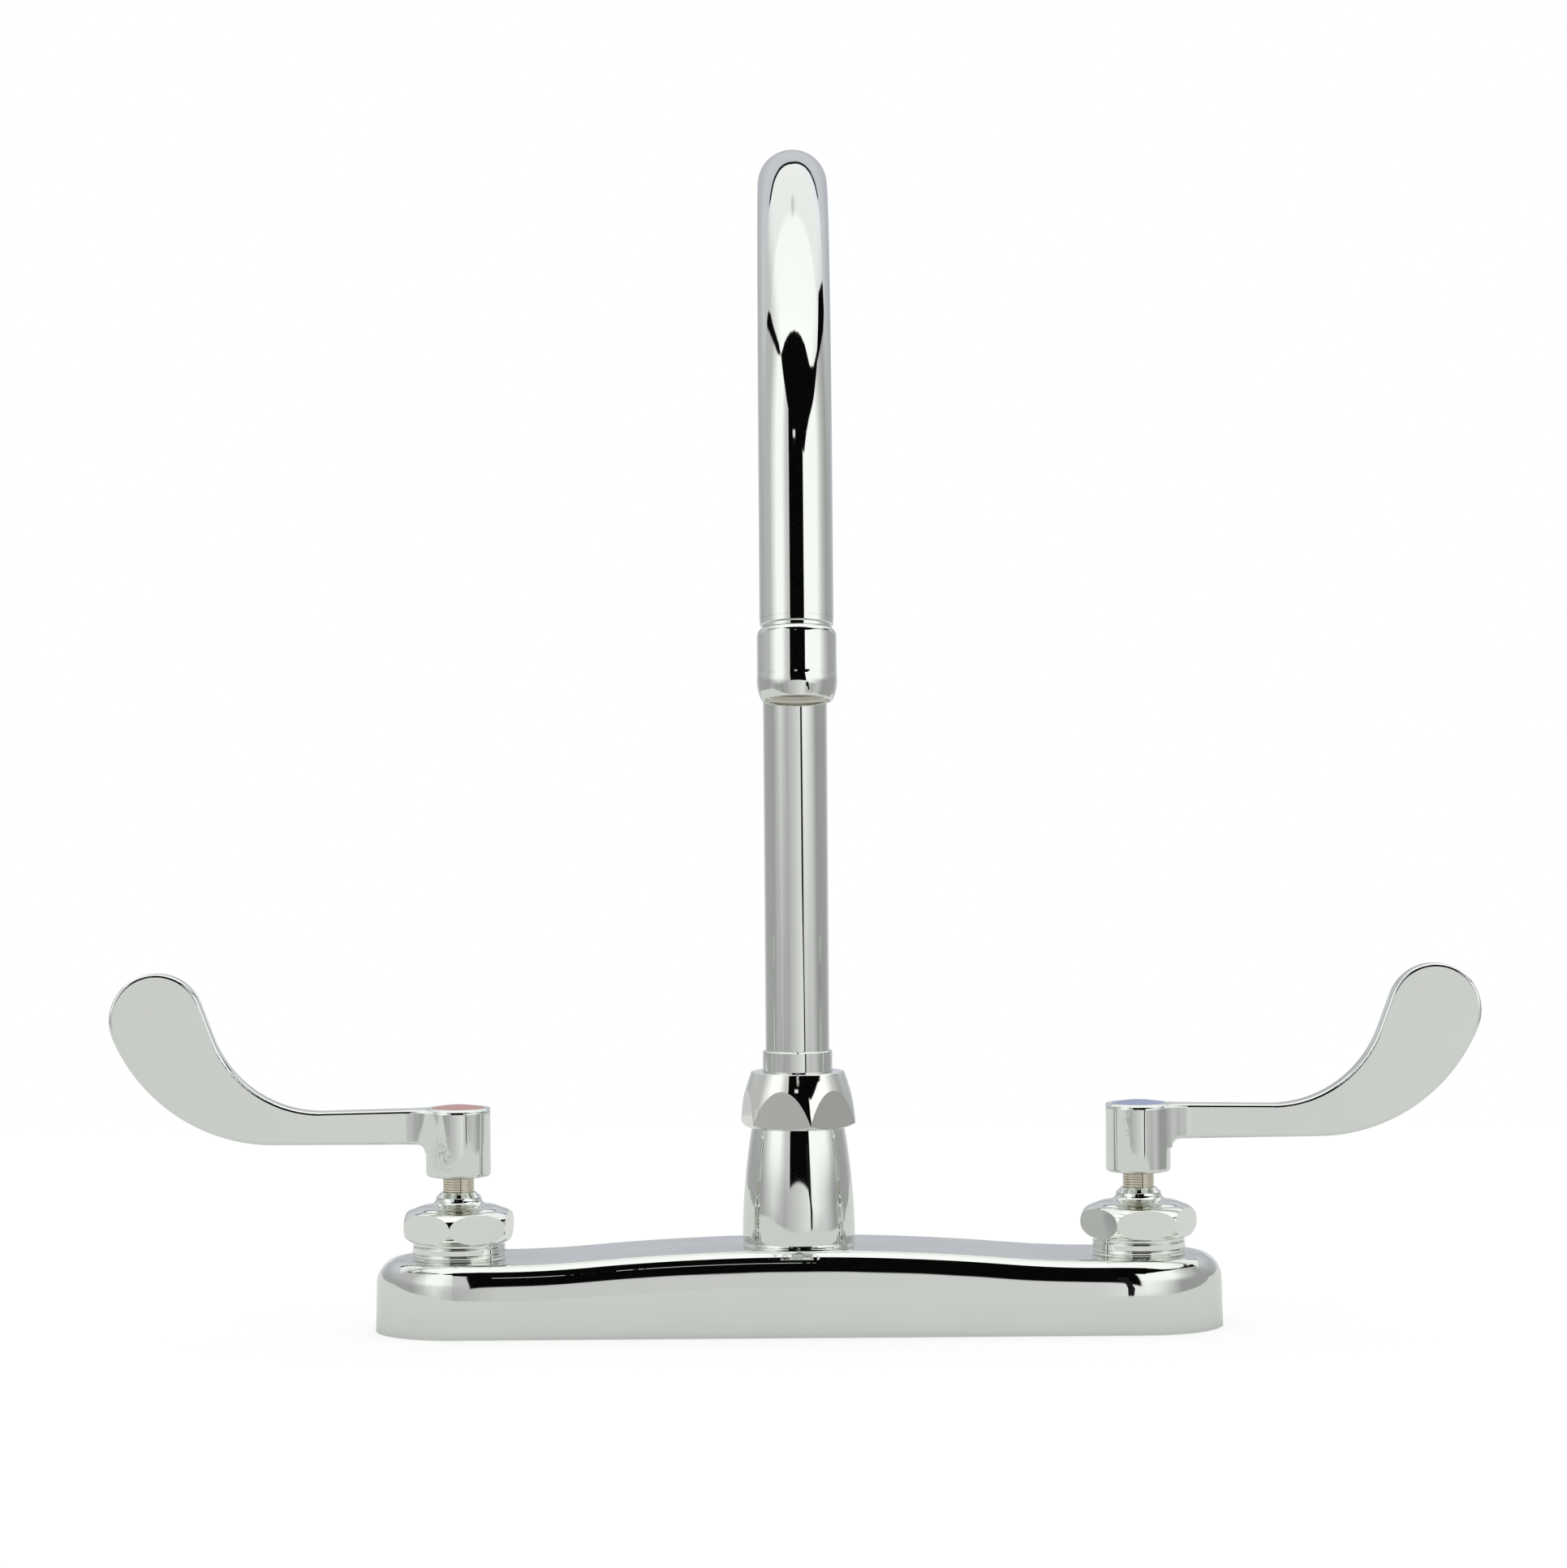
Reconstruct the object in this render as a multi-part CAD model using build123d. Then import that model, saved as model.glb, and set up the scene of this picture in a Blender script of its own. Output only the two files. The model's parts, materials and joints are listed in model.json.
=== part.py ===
from build123d import *
import os
from math import atan2, cos, degrees, radians, sin, tan

# Deck-mounted two-handle faucet with a swivelling gooseneck spout.
# Millimetres. The deck is the plane z = 0, +Z is up, +X is to the user's right and -Y faces the user.
# The origin is the centre of the base's underside, on the spout's axis.

# Layout
valve_spread = 203.2
outlet_reach = 203.2
outlet_height = 188.4
spout_height = 339.7
outlet_tilt = 10.0
deck_thickness = 12.7

# Base casting
base_end_margin = 24.9
base_depth = 51.6
base_corner_radius = 24.5
base_end_height = 21.5
base_crown_height = 25.3
base_flat_start = 90.0
base_crown_reach = 62.0
base_edge_radius = 7.2
base_draft = 1.5
base_wall = 3.4
boss_radius = 14.2
boss_height = 0.4
boss_edge = 0.3
waterway_radius = 3.4
waterway_wall = 2.8
waterway_height = 12.2

# Spout column of the casting
column_foot_radius = 16.82
column_middle_radius = 16.04
column_top_radius = 13.9
column_top_height = 59.6
column_flare = 0.5
column_foot_land = 0.4
column_bore_radius = 11.0
column_bore_length = 25.0
column_wall = 4.2
pot_floor = 4.6
pot_floor_thickness = 3.2
neck_radius = 13.0
neck_length = 10.4
neck_chamfer = 0.6

# Valve sockets and cartridges
socket_radius = 11.2
socket_depth = 12.9
socket_floor_thickness = 2.2
port_radius = 5.0
cartridge_radius = 8.9
cartridge_height = 27.0
disc_radius = 7.4
disc_thickness = 1.8
seal_thickness = 1.6
seal_inner_radius = 5.2
disc_port_width = 2.6
disc_port_circle = 4.07
driver_thickness = 2.0
window_width = 6.0

# Bonnets
bonnet_width = 30.4
bonnet_skirt_height = 4.3
bonnet_hex_height = 9.8
bonnet_barrel_radius = 17.6
bonnet_foot_radius = 14.0
bonnet_shoulder_radius = 13.4
bonnet_crown_radius = 9.2
bonnet_crown_rise = 1.1
bonnet_skirt_radius = 13.6
bonnet_skirt_spread = 0.45
bonnet_tail_radius = 11.15
bonnet_tail_length = 5.2
bonnet_neck_radius = 5.7
bonnet_neck_flare = 1.0
bonnet_neck_height = 5.0
bonnet_neck_land = 1.4
bonnet_neck_edge = 0.5
hot_bonnet_turn = 24.4
cold_bonnet_turn = 4.5

# Stems
stem_radius = 4.6
stem_cover = 6.0
stem_chamfer = 0.4
stem_seal_section = 0.9
stem_seal_depth = 8.0
clip_thickness = 0.7
clip_width = 1.6
clip_mouth = 6.2

# Handles
hub_radius = 9.65
hub_lift = 4.8
hub_height = 20.4
hub_edge = 0.6
blade_reach = 103.8
paddle_radius = 14.15
paddle_rise = 27.45
blade_lean = 69.4
inner_bend_radius = 34.1
outer_bend_run = 35.0
arm_height = 9.85
arm_drop = 0.8
arm_thickness = 8.4
tip_thickness = 4.4
arm_blend_radius = 15.0
underarm_fillet = 2.4
rim_radius = 1.0
button_radius = 8.0
button_thickness = 2.2
button_crown = 0.3
screw_head_radius = 3.7
screw_head_height = 2.2
screw_radius = 2.0
screw_length = 11.0
screw_tip_gap = 1.0
hot_handle_turn = 0.4
cold_handle_turn = 3.8

# Spout nut
nut_width = 31.1
nut_lift = 0.6
nut_height = 16.2
nut_top_radius = 13.9
nut_shoulder_radius = 17.95
nut_foot_radius = 15.95
nut_chamfer = 1.1
nut_bow = 0.5
nut_rim_edge = 0.5
nut_turn = 41.8

# Spout tube and collar
tube_radius = 9.525
tube_wall = 1.2
collar_radius = 10.4
collar_reveal = 6.3
collar_socket_depth = 18.7
collar_flange_radius = 12.4
collar_flange_thickness = 1.75
collar_lip = 0.35
bearing_thickness = 0.8
sleeve_length = 23.6
sleeve_bore_radius = 8.1
spout_seal_section = 0.8
spout_seal_positions = (6.0, 16.0)

# Outlet and aerator, measured up the outlet's axis from the rim
aerator_radius = 10.2
aerator_rim_radius = 9.07
aerator_taper_height = 6.4
aerator_height = 18.4
aerator_shoulder_height = 1.9
aerator_chamfer = 0.9
aerator_bow = 0.25
aerator_lip_radius = 8.3
aerator_lip_height = 1.5
aerator_bore_radius = 8.75
adapter_bead_start = 19.3
adapter_bead_height = 1.7
adapter_bead_radius = 9.45
adapter_bead_chamfer = 0.3
adapter_reveal_radius = 8.95
adapter_spigot_length = 7.0
adapter_bore_radius = 6.9
aerator_washer_thickness = 1.5
insert_start = 0.9
insert_height = 5.7
screen_radius = 7.0
screen_thickness = 0.4
screen_recess = 1.2
insert_cup_radius = 6.0
insert_floor = 1.4
insert_hole_radius = 0.6
insert_hole_circle = 4.6
insert_hole_count = 12

# Supply shanks and deck fixings
shank_radius = 10.4
shank_bore_radius = 6.5
shank_length = 50.8
supply_thread_radius = 10.3
supply_thread_length = 15.0
relief_width = 2.0
relief_depth = 0.8
shank_chamfer = 0.8
deck_washer_radius = 19.0
deck_washer_thickness = 1.6
locknut_width = 31.0
locknut_height = 8.0
locknut_flange_radius = 17.5
locknut_flange_height = 2.0

# Clearances
running_gap = 0.05
thread_gap = 0.05
seat_gap = 0.02
loose_gap = 0.3

# Derived positions
valve_x = valve_spread / 2
base_length = valve_spread + 2 * base_end_margin
neck_top = column_top_height + neck_length
tilt = radians(outlet_tilt)
bend_radius = (
    outlet_reach - tan(tilt) * (spout_height - tube_radius - outlet_height)
) / (1 + cos(tilt) - tan(tilt) * (1 - sin(tilt)))
bend_centre_height = spout_height - tube_radius - bend_radius
boss_top = base_end_height + boss_height
socket_floor = boss_top - socket_depth
bonnet_hex_bottom = boss_top + bonnet_skirt_height
bonnet_hex_top = bonnet_hex_bottom + bonnet_hex_height
bonnet_neck_top = bonnet_hex_top + bonnet_neck_height
hub_bottom = bonnet_neck_top + hub_lift
hub_top = hub_bottom + hub_height
stem_top = hub_top - stem_cover
nut_bottom = column_top_height + nut_lift
nut_top = nut_bottom + nut_height
collar_top = nut_top + collar_reveal
shank_top = socket_floor - socket_floor_thickness - seat_gap
fixed_disc_bottom = socket_floor + seal_thickness
moving_disc_bottom = fixed_disc_bottom + disc_thickness + seat_gap
driver_bottom = moving_disc_bottom + disc_thickness
cartridge_top = socket_floor + cartridge_height
stem_seal_height = cartridge_top - stem_seal_depth
adapter_thread_start = insert_start + insert_height + aerator_washer_thickness + 2 * seat_gap


def ring(outer, inner, low, high):
    """A plain ring round the Z axis between two heights."""
    return Pos(0, 0, low) * extrude(Circle(outer) - Circle(inner), amount=high - low)


def rod(radius, low, high):
    """A plain cylinder on the Z axis between two heights."""
    return Pos(0, 0, low) * extrude(Circle(radius), amount=high - low)


def turned(points):
    """The solid turned from a closed outline of (radius, height) points."""
    face = make_face(Plane.XZ * Polyline(*points, close=True))
    return revolve(face, axis=Axis.Z)


def hexagon(width, low, high, turn):
    """A hexagonal prism with the stated width across its flats."""
    outline = Rot(0, 0, turn) * RegularPolygon(width / 2, 6, major_radius=False)
    return Pos(0, 0, low) * extrude(outline, amount=high - low)


def torus_seal(centre_radius, section_radius, height):
    """An O-ring lying flat at a height."""
    return Pos(0, 0, height) * Torus(centre_radius, section_radius)


def at_outlet(piece):
    """A piece modelled up the Z axis from the rim, moved to the outlet of the spout."""
    return Pos(0, -outlet_reach, outlet_height) * Rot(-outlet_tilt, 0, 0) * piece


# Base casting


def base_form(inset):
    """The base's outer shape, drawn in by an inset: rounded ends, a crowned top and a round upper edge."""
    end = base_end_height - inset
    crown = base_crown_height - inset
    half = base_length / 2
    start = base_flat_start
    reach = base_crown_reach
    middle = crown - (crown - end) * reach / start
    plan = RectangleRounded(
        base_length - 2 * inset, base_depth - 2 * inset, base_corner_radius - inset
    )
    outline = [
        Line((-start, end), (-half, end)),
        Line((-half, end), (-half, 0)),
        Line((-half, 0), (half, 0)),
        Line((half, 0), (half, end)),
        Line((half, end), (start, end)),
        TangentArc((start, end), (reach, middle), tangent=(-1, 0)),
        ThreePointArc((reach, middle), (0, crown), (-reach, middle)),
        TangentArc((-start, end), (-reach, middle), tangent=(1, 0)),
    ]
    side = extrude(make_face(Plane.XZ * Curve(outline)), amount=base_depth, both=True)
    form = extrude(plan, amount=crown + inset, taper=base_draft) & side
    seams = form.edges().filter_by(Axis.Y)
    upper = form.edges().filter_by(lambda e: e.bounding_box().min.Z > end - 0.5)
    rim = [e for e in upper if e not in seams or abs(e.center().X) > half - inset - 1]
    return fillet(rim, base_edge_radius - inset / 2)


def column_form():
    """The spout column: a bowed taper with a flared foot and a threaded neck."""
    foot = base_crown_height - base_wall / 2
    flare_radius = column_foot_radius + column_flare
    flare_bottom = base_crown_height - column_foot_land
    flare_top = base_crown_height + column_flare
    outline = [
        Line((0, foot), (flare_radius, foot)),
        Line((flare_radius, foot), (flare_radius, flare_bottom)),
        TangentArc(
            (column_foot_radius, flare_top), (flare_radius, flare_bottom), tangent=(0, -1)
        ),
        ThreePointArc(
            (column_foot_radius, flare_top),
            (column_middle_radius, (flare_top + column_top_height) / 2),
            (column_top_radius, column_top_height),
        ),
        Line((column_top_radius, column_top_height), (neck_radius, column_top_height)),
        Line((neck_radius, column_top_height), (neck_radius, neck_top)),
        Line((neck_radius, neck_top), (0, neck_top)),
        Line((0, neck_top), (0, foot)),
    ]
    column = revolve(make_face(Plane.XZ * Curve(outline)), axis=Axis.Z)
    top_edge = column.edges().filter_by(GeomType.CIRCLE).sort_by(Axis.Z)[-1]
    return chamfer(top_edge, neck_chamfer)


def valve_boss():
    """One valve boss, solid, from inside the base up to its face."""
    boss = rod(boss_radius, shank_chamfer, boss_top)
    return chamfer(boss.edges().sort_by(Axis.Z)[-1], boss_edge)


def valve_socket():
    """What is cut from one valve boss: the socket, the port in its floor and the shank's thread."""
    socket = rod(socket_radius, socket_floor, boss_top + 1)
    port = rod(port_radius, 0, socket_floor + 1)
    thread = rod(shank_radius + thread_gap, 0, socket_floor - socket_floor_thickness)
    return socket + port + thread


def column_bore():
    """What is cut from the column: the spout's bore above the mixing chamber."""
    chamber_top = neck_top - column_bore_length
    chamber_radius = column_middle_radius - column_wall
    chamber = rod(chamber_radius, pot_floor + pot_floor_thickness, chamber_top)
    bore = rod(column_bore_radius, chamber_top, neck_top + 1)
    return chamber + bore


def base_casting():
    """The hollow casting with its bosses, cored waterway and spout column."""
    shell = base_form(0) - base_form(base_wall)
    solid = shell + column_form()
    solid += Rot(0, 0, 90) * rod(column_middle_radius, pot_floor, base_crown_height - base_wall / 2)
    duct = Rot(0, 90, 0) * Cylinder(waterway_radius + waterway_wall, valve_spread)
    solid += Pos(0, 0, waterway_height) * duct
    for x in (-valve_x, valve_x):
        solid += Pos(x, 0, 0) * valve_boss()
    for x in (-valve_x, valve_x):
        solid -= Pos(x, 0, 0) * valve_socket()
    solid -= column_bore()
    way = Rot(0, 90, 0) * Cylinder(waterway_radius, valve_spread - socket_radius)
    return solid - Pos(0, 0, waterway_height) * way


# Supply shanks and deck fixings


def shank():
    """A supply shank: upper thread, relief, lower supply thread and a through bore."""
    supply_top = supply_thread_length - shank_length
    relief_top = supply_top + relief_width
    body = rod(shank_radius, relief_top, shank_top)
    body += rod(shank_radius - relief_depth, supply_top, relief_top)
    supply = rod(supply_thread_radius, -shank_length, supply_top)
    body += chamfer(supply.edges().sort_by(Axis.Z)[0], shank_chamfer)
    return body - rod(shank_bore_radius, -shank_length - 1, shank_top + 1)


def deck_washer():
    """The washer that bears on the underside of the deck."""
    low = -deck_thickness - deck_washer_thickness
    return ring(deck_washer_radius, shank_radius + loose_gap, low, -deck_thickness)


def locknut():
    """The flanged hexagonal nut under the washer."""
    top = -deck_thickness - deck_washer_thickness
    low = top - locknut_height
    flange = rod(locknut_flange_radius, top - locknut_flange_height, top)
    corner = locknut_width / 2 / cos(radians(30))
    cone = turned(
        [
            (0, low),
            (locknut_width / 2, low),
            (corner, low + (corner - locknut_width / 2) * tan(radians(30))),
            (corner, top),
            (0, top),
        ]
    )
    nut = hexagon(locknut_width, low, top, 0) & cone
    return nut + flange - rod(shank_radius + thread_gap, low - 1, top + 1)


# Valves


def bonnet(turn):
    """A bonnet: barrelled hexagon, skirt, threaded tail and a bell neck round the stem."""
    tail_bottom = boss_top - bonnet_tail_length
    low = bonnet_hex_bottom
    foot = (bonnet_foot_radius, low)
    barrel = (bonnet_barrel_radius, (low + bonnet_hex_top) / 2)
    shoulder = (bonnet_shoulder_radius, bonnet_hex_top)
    crown = (bonnet_crown_radius, bonnet_hex_top + bonnet_crown_rise)
    bell = (bonnet_neck_radius + bonnet_neck_flare, bonnet_neck_top - bonnet_neck_land)
    neck = (bonnet_neck_radius, bonnet_neck_top - bonnet_neck_edge)
    lip = (bonnet_neck_radius - bonnet_neck_edge, bonnet_neck_top)
    cap = [
        Line((0, low), foot),
        ThreePointArc(foot, barrel, shoulder),
        TangentArc(crown, shoulder, tangent=(1, 0)),
        TangentArc(crown, bell, tangent=(-1, 0)),
        Line(bell, neck),
        Line(neck, lip),
        Line(lip, (0, bonnet_neck_top)),
        Line((0, bonnet_neck_top), (0, low)),
    ]
    domed = revolve(make_face(Plane.XZ * Curve(cap)), axis=Axis.Z)
    head = domed & hexagon(bonnet_width, low, bonnet_neck_top + 1, turn)
    foot_radius = bonnet_skirt_radius + bonnet_skirt_spread
    skirt = turned([(0, boss_top), (foot_radius, boss_top), (bonnet_skirt_radius, low), (0, low)])
    skirt = chamfer(skirt.edges().sort_by(Axis.Z)[0], boss_edge)
    body = head + skirt + rod(bonnet_tail_radius, tail_bottom, boss_top)
    cavity = rod(cartridge_radius + running_gap, tail_bottom - 1, cartridge_top + seat_gap)
    clip_room = rod(
        stem_radius + clip_width + loose_gap, cartridge_top, cartridge_top + clip_thickness + loose_gap
    )
    hole = rod(stem_radius + 2 * running_gap, tail_bottom, bonnet_neck_top + 1)
    return body - cavity - clip_room - hole


def cartridge_body():
    """The cartridge housing, open below for the discs and bored above for the stem."""
    low = socket_floor + loose_gap
    body = rod(cartridge_radius, low, cartridge_top)
    chamber = rod(disc_radius + running_gap, low - 1, driver_bottom + driver_thickness + seat_gap)
    gland = rod(stem_radius + running_gap, low, cartridge_top + 1)
    window = Pos(0, 0, moving_disc_bottom + driver_thickness)
    window = window * Box(2 * cartridge_radius + 2, window_width, 2 * driver_thickness)
    return body - chamber - gland - window


def disc_ports(start, low):
    """What is cut from a ceramic disc: two opposite quarter slots."""
    slot = SlotArc(CenterArc((0, 0), disc_port_circle, start, 90), disc_port_width)
    port = Pos(0, 0, low - 1) * extrude(slot, amount=disc_thickness + 2)
    return port + Rot(0, 0, 180) * port


def fixed_disc():
    """The fixed ceramic disc with two opposite ports."""
    disc = rod(disc_radius, fixed_disc_bottom, fixed_disc_bottom + disc_thickness)
    return disc - disc_ports(45, fixed_disc_bottom)


def moving_disc():
    """The turning ceramic disc, closed over the ports at rest."""
    disc = rod(disc_radius - seat_gap, moving_disc_bottom, moving_disc_bottom + disc_thickness - seat_gap)
    return disc - disc_ports(-45, moving_disc_bottom)


def seat_seal():
    """The rubber seal under the fixed disc."""
    return ring(disc_radius - seat_gap, seal_inner_radius, socket_floor, fixed_disc_bottom)


def stem():
    """The stem with its driver, seal groove, clip groove and screw hole."""
    driver_top = driver_bottom + driver_thickness
    clip_bottom = cartridge_top + seat_gap
    body = rod(disc_radius - seat_gap, driver_bottom, driver_top)
    body += rod(stem_radius, driver_top, stem_top)
    body = chamfer(body.edges().filter_by(GeomType.CIRCLE).sort_by(Axis.Z)[-1], stem_chamfer)
    half_groove = stem_seal_section + seat_gap
    floor = stem_radius - 2 * stem_seal_section
    body -= ring(
        stem_radius + 1, floor, stem_seal_height - half_groove, stem_seal_height + half_groove
    )
    body -= ring(
        stem_radius + 1, stem_radius - clip_thickness, clip_bottom, clip_bottom + clip_thickness + seat_gap
    )
    return body - rod(screw_radius + thread_gap, stem_top - screw_length, stem_top + 1)


def stem_oring():
    """The seal in the stem's groove."""
    return torus_seal(stem_radius - stem_seal_section + seat_gap, stem_seal_section, stem_seal_height)


def stem_clip():
    """The open clip that keeps the stem in its cartridge."""
    low = cartridge_top + 1.5 * seat_gap
    inner = stem_radius - clip_thickness + seat_gap
    clip = ring(stem_radius + clip_width, inner, low, low + clip_thickness)
    return clip - Pos(0, stem_radius, low) * Box(clip_mouth, 2 * stem_radius, 4 * clip_thickness)


# Handles


def blade_outline():
    """The handle's side view, out along +X from the valve axis: arm, bend and round paddle."""
    arm_top = hub_top - arm_drop
    arm_bottom = arm_top - arm_height
    paddle = Vector(blade_reach - paddle_radius, arm_top + paddle_rise)
    lean = radians(blade_lean)
    side = paddle + Vector(-sin(lean), cos(lean)) * paddle_radius
    inner_height = arm_top + inner_bend_radius
    inner_run = (inner_bend_radius - (inner_height - side.Y) * cos(lean)) / sin(lean)
    inner_arc = CenterArc((side.X - inner_run, inner_height), inner_bend_radius, -90, blade_lean)
    rise = paddle.Y - arm_bottom
    span = outer_bend_run**2 + rise**2 - paddle_radius**2
    outer_radius = span / (2 * (rise - paddle_radius))
    outer_centre = Vector(paddle.X - outer_bend_run, arm_bottom + outer_radius)
    outer_end = degrees(atan2(paddle.Y - outer_centre.Y, outer_bend_run))
    paddle_arc = CenterArc(paddle, paddle_radius, 90 + blade_lean, outer_end - 90 - blade_lean)
    outer_arc = CenterArc(outer_centre, outer_radius, outer_end, -90 - outer_end)
    elbow = (hub_radius + underarm_fillet, arm_bottom)
    armpit = (hub_radius, arm_bottom - underarm_fillet)
    outline = [
        Line((0, hub_top), inner_arc @ 0),
        inner_arc,
        Line(inner_arc @ 1, paddle_arc @ 0),
        paddle_arc,
        outer_arc,
        Line(outer_arc @ 1, elbow),
        TangentArc(elbow, armpit, tangent=(-1, 0)),
        Line(armpit, (0, armpit[1])),
        Line((0, armpit[1]), (0, hub_top)),
    ]
    return make_face(Plane.XZ * Curve(outline))


def handle_plan():
    """The handle's plan view: round hub, blended arm and a blade that thins towards its tip."""
    arm = Polygon(
        (0, arm_thickness / 2),
        (0, -arm_thickness / 2),
        (blade_reach + 1, -tip_thickness / 2),
        (blade_reach + 1, tip_thickness / 2),
        align=None,
    )
    plan = Circle(hub_radius) + arm
    corners = [v for v in plan.vertices() if 0.1 < v.X < 2 * hub_radius]
    return fillet(corners, arm_blend_radius)


def handle():
    """A wrist blade handle, bored for the stem, the screw and the index button."""
    arm = extrude(blade_outline(), amount=2 * hub_radius, both=True)
    arm &= extrude(handle_plan(), amount=2 * spout_height)
    flat_side = [e for e in arm.edges() if e.bounding_box().min.X > 2 * hub_radius]
    across = [e for e in flat_side if e.bounding_box().size.Y > tip_thickness / 2]
    rim = [e for e in flat_side if e not in across]
    arm = fillet(rim, rim_radius)
    hub = rod(hub_radius, hub_bottom, hub_top)
    hub = chamfer(hub.edges().sort_by(Axis.Z)[0], hub_edge)
    body = arm + hub
    button_floor = hub_top - button_thickness
    head_floor = button_floor - screw_head_height - seat_gap
    body -= rod(button_radius + running_gap, button_floor, hub_top + 1)
    body -= rod(screw_head_radius + loose_gap, head_floor, hub_top)
    body -= rod(screw_radius + 2 * thread_gap, stem_top - 1, hub_top)
    return body - rod(stem_radius + thread_gap, hub_bottom - 1, stem_top + seat_gap)


def handle_screw():
    """The screw that holds the handle on its stem."""
    head_floor = hub_top - button_thickness - screw_head_height - seat_gap
    head = rod(screw_head_radius, head_floor + seat_gap / 2, head_floor + screw_head_height)
    socket = hexagon(screw_head_radius, head_floor + screw_head_height / 2, hub_top, 0)
    tip = stem_top - screw_length + screw_tip_gap
    return head - socket + rod(screw_radius, tip, head_floor + seat_gap)


def index_button():
    """The coloured button in the top of the hub, with a low crown."""
    low = hub_top - button_thickness + seat_gap
    edge_height = hub_top - seat_gap
    outline = [
        Line((0, low), (button_radius, low)),
        Line((button_radius, low), (button_radius, edge_height)),
        TangentArc((0, hub_top + button_crown), (button_radius, edge_height), tangent=(1, 0)),
        Line((0, hub_top + button_crown), (0, low)),
    ]
    return revolve(make_face(Plane.XZ * Curve(outline)), axis=Axis.Z)


# Spout


def spout_nut():
    """The domed hexagonal nut over the column's threaded neck."""
    bore_radius = neck_radius + thread_gap
    web_bottom = neck_top + running_gap + collar_flange_thickness + bearing_thickness + 2 * seat_gap
    foot = (nut_foot_radius, nut_bottom)
    shoulder = (nut_shoulder_radius, nut_bottom + nut_chamfer)
    bow = ((nut_top_radius + nut_shoulder_radius) / 2 + nut_bow, (nut_bottom + nut_top) / 2)
    rim = (nut_top_radius, nut_top)
    outline = [
        Line((0, nut_bottom), foot),
        Line(foot, shoulder),
        ThreePointArc(shoulder, bow, rim),
        Line(rim, (0, nut_top)),
        Line((0, nut_top), (0, nut_bottom)),
    ]
    dome = revolve(make_face(Plane.XZ * Curve(outline)), axis=Axis.Z)
    dome = fillet(dome.edges().filter_by(GeomType.CIRCLE).sort_by(Axis.Z)[-1], nut_rim_edge)
    nut = dome & hexagon(nut_width, nut_bottom, nut_top, nut_turn)
    nut -= rod(bore_radius, nut_bottom - 1, web_bottom)
    return nut - rod(collar_radius + 2 * running_gap, nut_bottom, nut_top + 1)


def spout_bearing_washer():
    """The slippery washer between the nut's web and the collar's flange."""
    low = neck_top + running_gap + collar_flange_thickness + seat_gap
    inner = collar_radius + 2 * running_gap
    return ring(collar_flange_radius, inner, low, low + bearing_thickness)


def spout_collar():
    """The collar: visible cuff, flange under the nut and a grooved sleeve in the column's bore."""
    flange_bottom = neck_top + running_gap
    flange_top = flange_bottom + collar_flange_thickness
    sleeve_radius = column_bore_radius - running_gap
    sleeve_bottom = flange_bottom - sleeve_length
    cuff = rod(collar_radius, flange_bottom, collar_top)
    cuff = chamfer(cuff.edges().sort_by(Axis.Z)[-1], collar_lip)
    body = cuff + rod(collar_flange_radius, flange_bottom, flange_top)
    body += rod(sleeve_radius, sleeve_bottom, flange_bottom)
    half_groove = spout_seal_section + 2 * running_gap
    floor = sleeve_radius - 2 * spout_seal_section
    for position in spout_seal_positions:
        centre = sleeve_bottom + position
        body -= ring(sleeve_radius + 1, floor, centre - half_groove, centre + half_groove)
    body -= rod(sleeve_bore_radius, sleeve_bottom - 1, collar_top)
    return body - rod(tube_radius + seat_gap, collar_top - collar_socket_depth, collar_top + 1)


def spout_oring(position):
    """One seal in a groove of the sleeve."""
    sleeve_bottom = neck_top + running_gap - sleeve_length
    centre = column_bore_radius - running_gap - spout_seal_section + seat_gap
    return torus_seal(centre, spout_seal_section, sleeve_bottom + position)


def spout_tube():
    """The gooseneck: a straight leg, one long bend and a short outlet leg that leans outward."""
    foot = collar_top - collar_socket_depth + seat_gap
    tube_end = adapter_bead_start + adapter_bead_height + seat_gap
    bend_end = (
        0,
        -bend_radius * (1 + cos(tilt)),
        bend_centre_height + bend_radius * sin(tilt),
    )
    end = (0, tube_end * sin(tilt) - outlet_reach, outlet_height + tube_end * cos(tilt))
    crown = (0, -bend_radius, bend_centre_height + bend_radius)
    path = Line((0, 0, foot), (0, 0, bend_centre_height))
    path += ThreePointArc((0, 0, bend_centre_height), crown, bend_end)
    path += Line(bend_end, end)
    section = Circle(tube_radius) - Circle(tube_radius - tube_wall)
    return sweep(Pos(0, 0, foot) * section, path=path)


def outlet_adapter():
    """The ring in the tube's end, with its bead and the male thread for the aerator."""
    bead_top = adapter_bead_start + adapter_bead_height
    spigot_radius = tube_radius - tube_wall - seat_gap
    bead = rod(adapter_bead_radius, adapter_bead_start, bead_top)
    bead = chamfer(bead.edges().sort_by(Axis.Z)[0], adapter_bead_chamfer)
    body = bead + rod(spigot_radius, bead_top, bead_top + adapter_spigot_length)
    body += rod(adapter_reveal_radius, adapter_thread_start, adapter_bead_start)
    body -= rod(adapter_bore_radius, 0, bead_top + adapter_spigot_length + 1)
    return at_outlet(body)


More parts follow.
